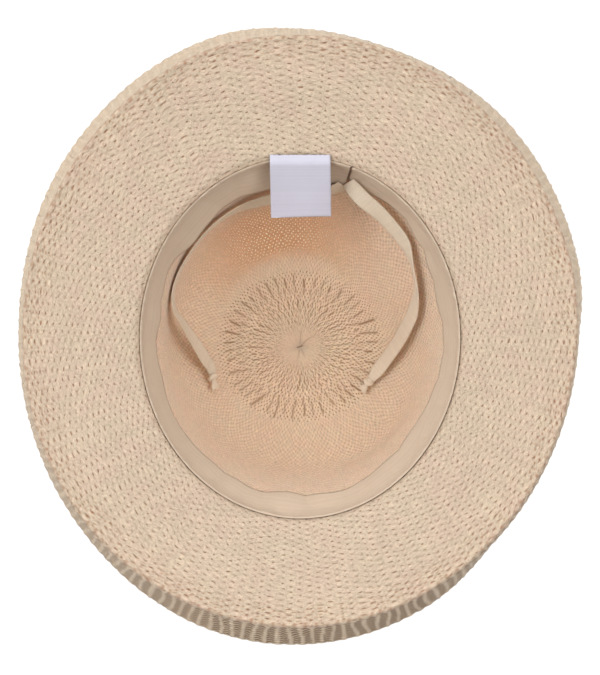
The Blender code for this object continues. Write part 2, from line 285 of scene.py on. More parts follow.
def ramp(value: Array | float, low: float, high: float) -> Array:
    """Rise smoothly from 0 at low to 1 at high."""
    t = np.clip((np.asarray(value, float) - low) / (high - low), 0.0, 1.0)
    return t * t * (3 - 2 * t)


def swell(distance: Array, reach: float) -> Array:
    """Soft hump, 1 at no distance and 0 at the reach and past it."""
    return 0.5 + 0.5 * np.cos(math.pi * np.clip(np.abs(distance) / reach, 0.0, 1.0))


def bell(distance: Array, width: float) -> Array:
    """Hump that dies away with the square of the distance."""
    return np.exp(-(distance / width) ** 2)


def turn_between(azimuth: Array, other: float) -> Array:
    """Smallest turn between azimuths, in degrees."""
    return (azimuth - other + HALF_TURN) % FULL_TURN - HALF_TURN


def round_azimuths(columns: int) -> Array:
    """Azimuths of evenly spaced columns round the hat, the first one again at the end."""
    return np.arange(columns + 1) * FULL_TURN / columns


def polar(azimuth: Array, radius: Array, height: Array) -> Array:
    """Points at azimuths, radii and heights."""
    angle = np.radians(azimuth)
    parts = np.broadcast_arrays(np.sin(angle) * radius, np.cos(angle) * radius, height)
    return np.stack(parts, axis=-1)


def unit(vectors: Array) -> Array:
    """Vectors of the same directions with a length of one."""
    return vectors / np.maximum(np.linalg.norm(vectors, axis=-1, keepdims=True), 1e-12)


def run_of(steps: Array) -> Array:
    """Length from the start to the end of each step, from zero."""
    return np.concatenate([[0.0], np.cumsum(steps)])


def wave_lattice(wale: Array, course: Array) -> Array:
    """Staggered lattice of stitches, 1 in the middle of a pit and -1 on a loop."""
    return np.cos(math.pi * wale) * np.cos(2 * math.pi * course)


class Drift:
    """Slow seeded wobble over the hat, the same after a full turn."""

    def __init__(self, seed: int, turns: int, reach: float, waves: int = 14) -> None:
        """Draw the waves.

        Args:
            seed: Seed of the draw.
            turns: Most waves in a full turn.
            reach: Most waves in one unit of the second coordinate.
            waves: Number of waves that are summed.
        """
        draw = np.random.default_rng(seed)
        self.turns = draw.integers(1, turns + 1, waves)
        self.rates = draw.uniform(-reach, reach, waves)
        self.phases = draw.uniform(0, math.tau, waves)

    def __call__(self, azimuth: Array, across: Array) -> Array:
        """Wobble at azimuths and a second coordinate, about 1 in size."""
        angle = np.radians(azimuth)
        total = sum(np.sin(turn * angle + math.tau * rate * across + phase)
                    for turn, rate, phase in zip(self.turns, self.rates, self.phases))
        return total * math.sqrt(2 / len(self.turns))


def scatter(seed: int, wale: Array, course: Array, round_wales: int) -> Array:
    """Random number from -1 to 1 for each stitch, the same all over a stitch."""
    table_rows = 256
    draws = np.random.default_rng(seed).uniform(-1, 1, (table_rows, round_wales))
    return draws[np.floor(course).astype(int) % table_rows, np.floor(wale).astype(int) % round_wales]


def surface_normals(points: Array, ring: bool) -> Array:
    """Work out the normals of a grid of points, its second axis closed.

    Args:
        points: Grid of points, rows by columns.
        ring: Whether the rows close on themselves too.

    Returns:
        Unit normals, rows by columns.
    """
    across = np.roll(points, -1, axis=1) - np.roll(points, 1, axis=1)
    if ring:
        along = np.roll(points, -1, axis=0) - np.roll(points, 1, axis=0)
    else:
        along = np.gradient(points, axis=0)
    return unit(np.cross(along, across))


def stitch_map(wale: Array, course: Array) -> Array:
    """Map coordinates from the stitch counts round the hat and along the cloth."""
    return np.stack(np.broadcast_arrays(wale, course), -1)


def face_and_back(values: Array) -> Array:
    """Values over a sheet's face, over its back, and at its first edge again."""
    return np.concatenate([values, values[:, ::-1], values[:, :1]], axis=1)


# Meshes


@dataclass
class Patch:
    """Closed skin through a row of loops.

    Attributes:
        loops: Points, loops by points round each loop.
        stitches: Map coordinates, one more than the points each way where they close.
        ring: Whether the last loop joins the first. If not, both ends are capped.
        marks: Named values for each point of the loops.
    """

    loops: Array
    stitches: Array
    ring: bool = False
    marks: dict[str, Array] = field(default_factory=dict)

    def skin(self) -> tuple[Array, list[Array], list[Array], dict[str, Array]]:
        """Lay faces between the loops.

        Returns:
            Points, faces, map coordinates of the faces' corners and the marks.
        """
        count, around = self.loops.shape[:2]
        spans = count if self.ring else count - 1
        i, j = np.meshgrid(np.arange(spans), np.arange(around), indexing="ij")
        after, beside = (i + 1) % count, (j + 1) % around
        quads = np.stack([i * around + j, after * around + j,
                          after * around + beside, i * around + beside], -1)
        st = self.stitches
        corners = np.stack([st[i, j], st[i + 1, j], st[i + 1, j + 1], st[i, j + 1]], 2)
        points = self.loops.reshape(-1, 3)
        faces = [quads.reshape(-1, 4)]
        maps = [corners.reshape(-1, 4, 2)]
        marks = {name: value.reshape(-1) for name, value in self.marks.items()}
        k = np.arange(around)
        ends = () if self.ring else ((0, False), (count - 1, True))
        for row, flip in ends:
            rim = row * around + k
            fan = np.stack([np.full(around, len(points)), rim, row * around + (k + 1) % around], -1)
            here, there = st[row, :-1], st[row, 1:]
            fan_map = np.stack([(here + there) / 2, here, there], 1)
            points = np.concatenate([points, self.loops[row].mean(0)[None]])
            faces.append(fan[:, ::-1] if flip else fan)
            maps.append(fan_map[:, ::-1] if flip else fan_map)
            marks = {name: np.append(value, value[rim].mean()) for name, value in marks.items()}
        return points, faces, maps, marks


def volume_of(points: Array, faces: list[Array]) -> float:
    """Six times the volume inside faces, positive where they face outwards."""
    total = 0.0
    for block in faces:
        first = points[block[:, 0]]
        for k in range(1, block.shape[1] - 1):
            second, third = points[block[:, k]], points[block[:, k + 1]]
            total += float(np.einsum("ij,ij->", first, np.cross(second, third)))
    return total


def make_piece(name: str, *patches: Patch) -> Piece:
    """Make one smooth mesh object from closed skins.

    Args:
        name: Name of the piece.
        patches: Its skins, all with the same marks.

    Returns:
        The object, linked to the scene.
    """
    points: list[Array] = []
    faces: list[list[int]] = []
    maps: list[Array] = []
    marks: dict[str, list[Array]] = {}
    start = 0
    for patch in patches:
        own, blocks, corners, values = patch.skin()
        inside_out = volume_of(own, blocks) < 0
        for block, corner in zip(blocks, corners):
            if inside_out:
                block, corner = block[:, ::-1], corner[:, ::-1]
            faces += (block + start).tolist()
            maps.append(corner.reshape(-1, 2))
        for mark, value in values.items():
            marks.setdefault(mark, []).append(value)
        points.append(own)
        start += len(own)
    mesh = bpy.data.meshes.new(name)
    mesh.from_pydata(np.concatenate(points), [], faces)
    layer = mesh.uv_layers.new(name=STITCH_MAP)
    layer.data.foreach_set("uv", np.concatenate(maps).astype(np.float32).ravel())
    for mark, value in marks.items():
        attribute = mesh.attributes.new(mark, "FLOAT", "POINT")
        attribute.data.foreach_set("value", np.concatenate(value).astype(np.float32))
    mesh.shade_smooth()
    mesh.update()
    return linked(name, mesh)


def linked(name: str, data: Any) -> Piece:
    """New object of some data, in the scene's own collection."""
    made = bpy.data.objects.new(name, data)
    bpy.context.scene.collection.objects.link(made)
    return made


def settle(piece: Piece, finish: Finish, node: str) -> None:
    """Give a piece its finish and its place on the hat's body, for a CAD node."""
    piece.data.materials.append(finish)
    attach(piece, BODY)
    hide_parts(node)
    LOG.info("%s: %d faces", piece.name, len(piece.data.polygons))


# Shape of the hat


@dataclass(frozen=True)
class HatShape:
    """Driving sizes of the hat, the same as the CAD model's, and the surfaces they give."""

    head_width: float = 0.1682
    head_length: float = 0.1896
    seam_height: float = 0.0990
    clearance: float = 0.0003
    crown_wall: float = 0.0024
    brim_thickness: float = 0.0034
    brim_width: float = 0.0555
    brim_rise: float = 0.0060
    rim_depth: float = 0.0180
    rim_thickness: float = 0.0030
    crease_radius: float = 0.0035
    crease_tab: float = 0.0015
    band_drop: float = 0.0250

    @property
    def crown_top(self) -> float:
        """Height of the crown's top edge."""
        return self.seam_height - self.brim_thickness - self.clearance

    def seam_radius(self, azimuth: Array) -> Array:
        """Radius of the head opening at the seam."""
        angle = np.radians(azimuth)
        return 1 / np.hypot(np.sin(angle) / (self.head_width / 2),
                            np.cos(angle) / (self.head_length / 2))

    def crown_radius(self, azimuth: Array, height: Array) -> Array:
        """Radius of the crown's outer face, with its dents."""
        share = np.clip(np.asarray(height, float) / self.crown_top, 0.0, 1.0)
        angle = np.radians(azimuth)
        side, front, back = (eased(CROWN_SECTIONS, name, share) for name in ("side", "front", "back"))
        half_width = (self.head_width / 2 + self.crown_wall) * side
        half_length = (self.head_length / 2 + self.crown_wall) * np.where(np.cos(angle) > 0, back, front)
        radius = 1 / np.hypot(np.sin(angle) / half_width, np.cos(angle) / half_length)
        for dent in CROWN_DENTS:
            turn = swell(turn_between(azimuth, dent.azimuth), dent.spread)
            radius = radius * (1 - dent.push * turn * swell(share - dent.height, dent.reach))
        return radius

    def crown_inside(self, azimuth: Array, height: Array) -> Array:
        """Radius of the crown's inner face on its wall."""
        step = 0.0005
        height = np.minimum(height, self.crown_top)
        radius = self.crown_radius(azimuth, height)
        rate = (radius - self.crown_radius(azimuth, height - step)) / step
        return radius - self.crown_wall * np.hypot(1, rate)

    def crease_start(self, azimuth: Array) -> tuple[Array, Array]:
        """Radius and height at which the brim ends and its crease begins."""
        width = self.brim_width * eased(BRIM_WAVES, "width", azimuth, FULL_TURN)
        lift = self.brim_rise * eased(BRIM_WAVES, "lift", azimuth, FULL_TURN)
        return self.seam_radius(azimuth) + width, self.seam_height + lift

    def rim_point(self, azimuth: Array, length: Array, raised: Array) -> Array:
        """Find points of the ribbed band.

        Args:
            azimuth: Azimuths.
            length: Lengths of cloth past the brim's edge.
            raised: Heights above the cloth's outer face.

        Returns:
            The points.
        """
        radius, height = self.crease_start(azimuth)
        slope = np.arctan2(height - self.seam_height, radius - self.seam_radius(azimuth))
        lean = np.radians(eased(BRIM_WAVES, "lean", azimuth, FULL_TURN))
        tab = np.minimum(length, self.crease_tab)
        heading = np.minimum(-slope + (length - tab) / self.crease_radius, lean)
        straight = length - tab - self.crease_radius * (heading + slope)
        out = tab * np.cos(slope) + self.crease_radius * (np.sin(heading) + np.sin(slope))
        drop = -tab * np.sin(slope) + self.crease_radius * (np.cos(slope) - np.cos(heading))
        out = out + straight * np.cos(lean) + raised * np.sin(heading)
        drop = drop + straight * np.sin(lean) - raised * np.cos(heading)
        return polar(azimuth, radius + out, height - drop)

    def band_radius(self, azimuth: Array, drop: Array) -> Array:
        """Radius of the sweatband's outer face at a drop below the seam."""
        stand_off = self.band_drop * eased(BAND_FOLDS, "stand_off", azimuth, FULL_TURN)
        inside = self.crown_inside(azimuth, self.seam_height - drop)
        seat = np.minimum(self.seam_radius(azimuth), inside)
        return seat - self.clearance - stand_off * (drop / self.band_drop) ** 2


# Shader graphs


def operator(operation: str, swapped: bool = False) -> Callable[[Value, Any], Value]:
    """Make an operator between values, which lays a Math node.

    Args:
        operation: The node's operation.
        swapped: Whether the other value comes first.

    Returns:
        The operator, as a method of Value.
    """
    def lay(value: Value, other: Any) -> Value:
        """Lay the node on a value and another or a number."""
        pair = (other, value) if swapped else (value, other)
        return value.graph.math(operation, *pair)
    return lay


@dataclass(eq=False)
class Value:
    """Output of a node in a graph, reckoned with like a number."""

    graph: Graph
    socket: Any

    __add__ = __radd__ = operator("ADD")
    __mul__ = __rmul__ = operator("MULTIPLY")
    __sub__ = operator("SUBTRACT")
    __rsub__ = operator("SUBTRACT", swapped=True)
    __mod__ = operator("MODULO")
    __pow__ = operator("POWER")
    __gt__ = operator("GREATER_THAN")


class Graph:
    """Short way to lay nodes in a tree."""

    def __init__(self, tree: bpy.types.NodeTree) -> None:
        """Work on a tree."""
        self.tree = tree

    def feed(self, node: Any, inputs: dict[Any, Any]) -> Any:
        """Feed a node.

        Args:
            node: The node.
            inputs: Sockets' names or numbers, with a value, a number or a colour for each.

        Returns:
            The same node.
        """
        for key, value in inputs.items():
            socket = node.inputs[key]
            if isinstance(value, Value):
                self.tree.links.new(value.socket, socket)
            else:
                socket.default_value = (*value, 1.0) if socket.type == "RGBA" else value
        return node

    def node(self, kind: str, inputs: dict[Any, Any] | None = None, **settings: Any) -> Any:
        """Add a node.

        Args:
            kind: The node's type, after the word ShaderNode.
            inputs: What to feed it.
            settings: The node's own settings.

        Returns:
            The node.
        """
        made = self.tree.nodes.new("ShaderNode" + kind)
        for name, value in settings.items():
            setattr(made, name, value)
        return self.feed(made, inputs or {})

    def out(self, kind: str, inputs: dict[Any, Any] | None = None, output: str | int = 0,
            **settings: Any) -> Value:
        """Add a node and take one of its outputs."""
        return Value(self, self.node(kind, inputs, **settings).outputs[output])

    def parts(self, node: Any) -> dict[str, Value]:
        """All outputs of a node by their names."""
        return {socket.name: Value(self, socket) for socket in node.outputs}

    def group(self, tree: bpy.types.NodeTree, **inputs: Any) -> dict[str, Value]:
        """Outputs of a node group that is fed some inputs."""
        return self.parts(self.node("Group", inputs, node_tree=tree))

    def math(self, operation: str, *values: Any, clamp: bool = False) -> Value:
        """Result of a Math node on values or numbers."""
        return self.out("Math", dict(enumerate(values)), operation=operation, use_clamp=clamp)

    def spread(self, value: Any, low: Any, high: float, bottom: float = 0.0,
               top: float = 1.0) -> Value:
        """Value smoothly taken from one range to another, and held at its ends."""
        return self.out("MapRange", {0: value, 1: low, 2: high, 3: bottom, 4: top},
                        interpolation_type="SMOOTHSTEP")

    def blended(self, factor: Any, first: Any, second: Any) -> Value:
        """Two numbers blended by a factor."""
        return self.out("Mix", {0: factor, 2: first, 3: second}, data_type="FLOAT")

    def mixed(self, factor: Any, first: Any, second: Any, blend: str = "MIX") -> Value:
        """Two colours mixed by a factor."""
        return self.out("Mix", {0: factor, 6: first, 7: second}, output=2, data_type="RGBA",
                        blend_type=blend)

    def lit(self, colour: Any, light: Value) -> Value:
        """Colour made lighter or darker by a number."""
        grey = self.out("CombineColor", {0: light, 1: light, 2: light})
        return self.mixed(1.0, colour, grey, "MULTIPLY")

    def body(self) -> Value:
        """Place in the piece's own space."""
        return self.out("TexCoord", output="Object")

    def noise(self, place: Value, scale: float, detail: float = 2.0, rough: float = 0.5,
              output: int = 0) -> Value:
        """Noise from 0 to 1 at a place, or with output 1 a colour of three noises."""
        return self.out("TexNoise", {"Vector": place, "Scale": scale, "Detail": detail,
                                     "Roughness": rough}, output=output)

    def bump(self, height: Value, strength: float, distance: float) -> Value:
        """Normal bent by a height."""
        return self.out("Bump", {"Height": height, "Strength": strength, "Distance": distance})

    def stitches(self) -> tuple[Value, Value]:
        """Wale and course from a piece's stitch map."""
        place = self.out("UVMap", uv_map=STITCH_MAP)
        parts = self.parts(self.node("SeparateXYZ", {0: place}))
        return parts["X"], parts["Y"]


def new_group(name: str, *inputs: str) -> tuple[Graph, dict[str, Value]]:
    """Start a shader node group of plain numbers.

    Args:
        name: Name of the group.
        inputs: Names of its inputs.

    Returns:
        Its graph, and its inputs by their names.
    """
    tree = bpy.data.node_groups.new(name, "ShaderNodeTree")
    for label in inputs:
        tree.interface.new_socket(label, in_out="INPUT", socket_type="NodeSocketFloat")
    graph = Graph(tree)
    return graph, graph.parts(tree.nodes.new("NodeGroupInput"))


def close_group(graph: Graph, **outputs: Value) -> bpy.types.NodeTree:
    """Give a group its outputs by name, and return it."""
    tree = graph.tree
    for label in outputs:
        tree.interface.new_socket(label, in_out="OUTPUT", socket_type="NodeSocketFloat")
    graph.feed(tree.nodes.new("NodeGroupOutput"), outputs)
    return tree


class Effects:
    """Node groups that more than one material uses."""

    def __init__(self) -> None:
        """Build every group once."""
        self.lattice = self._lattice()
        self.ply = self._ply()
        self.mottle = self._mottle()
        self.weave = self._weave()

    def _lattice(self) -> bpy.types.NodeTree:
        """Staggered stitches: pits, loops, a draw for each and the seams between them."""
        g, given = new_group("Stitch lattice", "Wale", "Course", "Edge")
        wale, course = given["Wale"], given["Course"]
        wave = g.math("COSINE", wale * math.pi) * g.math("COSINE", course * math.tau)
        column = g.math("FLOOR", wale + 0.5)
        row = g.math("FLOOR", course + column % 2.0 * 0.5)
        cell = g.out("CombineXYZ", {0: column, 1: row})
        swing = g.math("SINE", wale * math.pi) * 0.25
        first = g.math("PINGPONG", course + swing, 0.5)
        second = g.math("PINGPONG", course - swing + 0.5, 0.5)
        line = g.spread(g.math("MINIMUM", first, second), 0.0, 0.08, 1.0, 0.0)
        return close_group(g, Pit=g.spread(wave, given["Edge"], 1.0),
                           Loop=g.spread(wave, -1.0, 0.9, 1.0, 0.0),
                           Draw=g.out("TexWhiteNoise", {"Vector": cell}),
                           Seam=line * g.spread(wave, -0.35, 0.40))

    def _ply(self) -> bpy.types.NodeTree:
        """Twisted strands of a yarn that runs round the hat, with stray fibres."""
        g, given = new_group("Yarn ply", "Wale", "Course", "Strands")
        wale = given["Wale"]
        bent = g.math("COSINE", wale * math.pi) * 0.22 + given["Course"]
        phase = bent * given["Strands"] + wale
        place = g.out("CombineXYZ", {0: wale, 1: bent * 5.0})
        return close_group(g, Height=g.math("ABSOLUTE", g.math("SINE", phase * math.pi)),
                           Fibre=g.noise(place, 3.0, 3.0, 0.65))

    def _mottle(self) -> bpy.types.NodeTree:
        """Slow and middling change of tone over the cloth, about 1."""
        g, given = new_group("Cloth mottle", "Amount")
        slow = g.noise(g.body(), 14.0)
        middling = g.noise(g.body(), 160.0, 3.0)
        return close_group(g, Tone=(slow * 1.1 + middling - 1.05) * given["Amount"] + 1.0)

    def _weave(self) -> bpy.types.NodeTree:
        """Plain weave: crossing threads, over and under, and the gap between them."""
        g, given = new_group("Tape weave", "Warp", "Weft")
        warp, weft = (g.math("SINE", given[name] * math.pi) for name in ("Warp", "Weft"))
        over_warp, over_weft = (g.math("ABSOLUTE", wave) for wave in (warp, weft))
        checker = g.math("SIGN", warp) * g.math("SIGN", weft)
        row = g.math("FLOOR", given["Weft"])
        return close_group(g, Height=g.blended(g.spread(checker, -0.5, 0.5), over_warp, over_weft),
                           Gap=1.0 - g.math("MAXIMUM", over_warp, over_weft),
                           Thread=g.out("TexWhiteNoise", {"W": row}, noise_dimensions="1D"))


def new_material(name: str) -> tuple[Finish, Graph, Any]:
    """Start a material.

    Args:
        name: Name of the material.

    Returns:
        The material, its graph and its Principled node.
    """
    material = bpy.data.materials.new(name)
    material.use_nodes = True
    graph = Graph(material.node_tree)
    return material, graph, material.node_tree.nodes["Principled BSDF"]


@dataclass(frozen=True)
class KnitFinish:
    """Matt knitted yarn.

    Attributes:
        name: Name of the material.
        yarn: Colour of the loops.
        cream: Paler, yellower colour that the yarn drifts to.
        pit: Colour of the painted shade deep between the loops.
        pit_edge: How far out from its middle a pit goes dark, from 1 down.
        pit_depth: Depth of a pit in the bump.
        strands: Strands across a course.
        mottle: Change of tone over the cloth.
        pit_dark: How dark the painted shade of the darkest pits is, up to 1.
        grain: Change of tone from one fleck of yarn to the next.
        grain_round: Flecks to a stitch round the hat.
        grain_long: Flecks to a course.
        fluff: Height of the flecks in the bump.
        seam: How dark the painted shade in the seams between the loops is.
        painted_loop_highlight: How much brighter the tops of the loops are painted, a painted highlight.
        through: How much of the light spreads in the yarn and comes through it.
        stray: How far stitches stray from their rows, in wales.
        stray_scale: How quickly the stray changes over the cloth.
        tip_wales: Share of the stitches that are left in the tip's outer and inner rounds.
    """

    name: str
    yarn: Colour
    cream: Colour
    pit: Colour
    pit_edge: float
    pit_depth: float
    strands: float
    mottle: float
    pit_dark: float = 0.90
    grain: float = 0.07
    grain_round: float = 3.2
    grain_long: float = 2.4
    fluff: float = 1.3
    seam: float = 0.35
    painted_loop_highlight: float = 0.14
    through: float = 0.0
    stray: float = 0.8
    stray_scale: float = 260.0
    tip_wales: tuple[float, float] = (1.0, 1.0)

    def material(self, effects: Effects) -> Finish:
        """Build the yarn's material."""
        made, g, shader = new_material(self.name)
        tip, painted_hollow_shade, painted_backlight_and_shade = (g.out("Attribute", output="Fac", attribute_name=mark)
                                for mark in ("tip", "painted_hollow_shade", "painted_backlight_and_shade"))
        wale, course = self._strayed(g, tip)
        lattice = g.group(effects.lattice, Wale=wale, Course=course, Edge=self.pit_edge)
        ply = g.group(effects.ply, Wale=wale, Course=course, Strands=self.strands)
        place = g.out("CombineXYZ", {0: wale * self.grain_round, 1: course * self.grain_long})
        grain = g.noise(place, 1.0, 2.0, 0.6)
        pit = lattice["Pit"] * (1.0 - g.spread(tip, 1.0, 1.5))
        seam = lattice["Seam"] * g.spread(grain, 0.35, 0.60, 1.0, 0.2)
        # Painted shade: the pits, darker in the tip, and the marked painted shade are mixed towards the
        # dark pit colour.
        depth = (tip > 0.25) * 0.62 + g.spread(lattice["Draw"], 0.0, 1.0, 0.20, self.pit_dark)
        deep = g.math("MAXIMUM", pit * (depth + painted_backlight_and_shade), painted_hollow_shade, clamp=True)
        tone = self._tone(g, effects, ply["Fibre"], grain, lattice["Draw"])
        # Painted highlight on the tops of the loops.
        tone = g.lit(tone, lattice["Loop"] ** 5.0 * self.painted_loop_highlight + 1.0)
        # Painted shade on the back wall: the yarn there is darkened to orange.
        glow = g.mixed(painted_backlight_and_shade * 0.9, (1.0, 1.0, 1.0), (0.80, 0.58, 0.42))
        tone = g.mixed(1.0, tone, glow, "MULTIPLY")
        # Painted shade in the seams between the loops.
        tone = g.mixed(seam * self.seam, tone, self.pit)
        # Painted light coming through the pits on the back wall.
        shade = g.mixed(painted_backlight_and_shade, self.pit, (1.0, 0.90, 0.70))
        height = lattice["Loop"] * 0.28 + ply["Height"] * 0.07 + grain * self.fluff
        height = height - seam * 0.25 - pit * g.math("SUBTRACT", 1.0, painted_backlight_and_shade, clamp=True)
        g.feed(shader, {"Base Color": g.mixed(deep, tone, shade),
                        "Normal": g.bump(height, 1.0, self.pit_depth),
                        "Roughness": 0.92, "Specular IOR Level": 0.2,
                        "Sheen Weight": 0.25, "Sheen Roughness": 0.45,
                        "Subsurface Weight": self.through, "Subsurface Scale": 0.004,
                        "Subsurface Radius": (1.0, 0.50, 0.20)})
        return made

    def _strayed(self, g: Graph, tip: Value) -> tuple[Value, Value]:
        """Wale and course, with fewer stitches in the tip and a stray from the rows."""
        wale, course = g.stitches()
        outer, inner = self.tip_wales
        wale = wale * ((tip > 0.25) * (outer - 1) + (tip > 0.75) * (inner - outer)) + wale
        stray = g.noise(g.body(), self.stray_scale, 1.0, output=1)
        parts = g.parts(g.node("SeparateColor", {0: stray}))
        wale = wale + (parts["Red"] - 0.5) * self.stray
        course = course + (parts["Green"] - 0.5) * (self.stray * 0.45)
        return wale, course

    def _tone(self, g: Graph, effects: Effects, fibre: Value, grain: Value, draw: Value) -> Value:
        """Colour of the loops, which drifts over the cloth and from stitch to stitch."""
        drift = g.spread(g.noise(g.body(), 75.0, 2.0, 0.6), 0.35, 0.65)
        light = g.group(effects.mottle, Amount=self.mottle)["Tone"]
        light = light * g.spread(fibre, 0.25, 0.75, 0.94, 1.06)
        light = light * g.spread(draw, 0.0, 1.0, 0.965, 1.035)
        light = light * g.spread(grain, 0.30, 0.70, 1 - self.grain, 1 + self.grain)
        return g.lit(g.mixed(drift, self.yarn, self.cream), light)


@dataclass(frozen=True)
class TapeFinish:
    """Close woven tape, ribbon or tag.

    Attributes:
        name: Name of the material.
        thread: Colour of its threads.
        gap: Colour between them, a painted shade.
        roughness: Roughness of the threads.
        depth: Depth of the weave in the bump.
        mottle: Change of tone over the cloth.
    """

    name: str
    thread: Colour
    gap: Colour
    roughness: float
    depth: float
    mottle: float

    def material(self, effects: Effects) -> Finish:
        """Build the tape's material."""
        made, g, shader = new_material(self.name)
        warp, weft = g.stitches()
        weave = g.group(effects.weave, Warp=warp, Weft=weft)
        light = g.group(effects.mottle, Amount=self.mottle)["Tone"]
        light = light * g.spread(weave["Thread"], 0.0, 1.0, 0.965, 1.03)
        # Painted shade in the gaps between the threads.
        gap = g.spread(weave["Gap"], 0.2, 0.9, 0.0, 0.7)
        g.feed(shader, {"Base Color": g.mixed(gap, g.lit(self.thread, light), self.gap),
                        "Normal": g.bump(weave["Height"], 0.8, self.depth),
                        "Roughness": self.roughness, "Specular IOR Level": 0.35,
                        "Sheen Weight": 0.15})
        return made


# Pieces of the hat


@dataclass
class Brim:
    """Knitted brim, from the seam out over the crease.

    Attributes:
        shape: The hat's shape.
        wales: Stitches round it, an even number.
        columns: Columns of points round it.
        courses: Courses from the seam to the crease.
        fine: Points to a course.
        turned_rows: Rows of points on the cloth that turns over the crease.
        under_rows: Rows of points on its underside.
        relief: Height of a loop over its pits.
        curl: Cloth that turns over the crease.
        curl_course: Height of a course on that cloth.
    """

    shape: HatShape
    wales: int = 166
    columns: int = 664
    courses: int = 18
    fine: int = 6
    turned_rows: int = 8
    under_rows: int = 18
    relief: float = 0.00070
    curl: float = 0.0042
    curl_course: float = 0.0033

    def build(self) -> Piece:
        """Make the brim's mesh."""
        azimuth = round_azimuths(self.columns)[:, None]
        flat_rows = self.courses * self.fine
        share = np.linspace(0.0, 1.0, flat_rows + 1)[None, :]
        flat = self._flat(azimuth, share)
        chain = 1 + 0.14 * np.cos(math.pi * azimuth / FULL_TURN * self.wales * 2)
        length = np.linspace(0.0, self.curl, self.turned_rows + 1)[None, 1:] * chain
        lifted = 0.0006 * ramp(length, 0.0, 0.002) - 0.0010 * ramp(length, 0.0024, 0.0044)
        upper = np.concatenate([flat, self.shape.rim_point(azimuth, length, lifted)], axis=1)
        normal = surface_normals(upper[:-1], ring=True)
        normal[:, 0] = normal[:, 1]
        normal[:, -1] = normal[:, -2]
        normal *= np.sign(normal[:, flat_rows // 2, 2].mean())
        rows = np.concatenate([share * self.courses + 0 * azimuth,
                               self.courses + length / self.curl_course], axis=1)
        wale = azimuth / FULL_TURN * self.wales
        wale = wale + 0.09 * Drift(7, 60, 3.0)(azimuth, rows / self.courses)
        course = rows + 0.11 * Drift(8, 50, 2.5)(azimuth, rows / self.courses)
        raised, painted_hollow_shade = self._knit(wale[:-1], course[:-1])
        top = upper[:-1] + normal * raised[..., None]
        picks = np.round(np.linspace(1.0, 0.0, self.under_rows) * flat_rows).astype(int)
        inner_turn = upper[:-1, -1:] - normal[:, -1:] * 0.0012
        under = flat[:-1, picks] - normal[:, picks] * self.shape.brim_thickness
        loops = np.concatenate([top, inner_turn, under], axis=1)
        along = np.concatenate([course, course[:, -1:], course[:, picks], course[:, :1]], axis=1)
        marks = {"painted_hollow_shade": np.pad(painted_hollow_shade, ((0, 0), (0, 1 + self.under_rows)))}
        return make_piece("brim_knit_cloth",
                          Patch(loops, stitch_map(wale[:, :1], along), True, marks))

    def _flat(self, azimuth: Array, share: Array) -> Array:
        """Points from the seam to the crease, tucked at the seam and billowing a little."""
        shape = self.shape
        radius, height = shape.crease_start(azimuth)
        seam = shape.seam_radius(azimuth)
        tuck = 0.0016 * (1 - ramp(share * shape.brim_width, 0.0, 0.0028))
        billow = 0.0005 * Drift(4, 9, 1.2)(azimuth, share) * np.sin(math.pi * share)
        return polar(azimuth, seam + (radius - seam) * share,
                     shape.seam_height + (height - shape.seam_height) * share - tuck + billow)

    def _knit(self, wale: Array, course: Array) -> tuple[Array, Array]:
        """Height of the knit over the cloth, and its painted shade from 0 to 1."""
        lattice = wave_lattice(wale, course)
        size = 1 + 0.35 * scatter(11, wale + 0.5, course, self.wales)
        pits = ramp(lattice, 0.62, 1.0)
        small_pits = ramp(wave_lattice(2.0 * wale, course) * size, 0.45, 1.05)
        past = course - self.courses
        edge = ramp(course, 0.2, 1.2) * (1 - ramp(past, -0.4, 0.8))
        raised = self.relief * size * edge * (0.11 * (1 - lattice) - 0.22 * pits)
        # Painted shade in the pits of the last courses before the crease, and between the loops where
        # the cloth turns over it.
        crest = ramp(past, -4.0, -1.2) * (1 - ramp(past, 0.8, 1.1))
        lip = ramp(past, 0.45, 0.80) * np.sin(math.pi * wale) ** 4
        painted_hollow_shade = np.maximum(crest * (0.55 * pits + 0.75 * small_pits), 0.60 * lip)
        return raised, np.clip(painted_hollow_shade, 0, 1)

    def dress(self, piece: Piece, finish: Finish) -> None:
        """Put the knit on the brim."""
        settle(piece, finish, "brim")


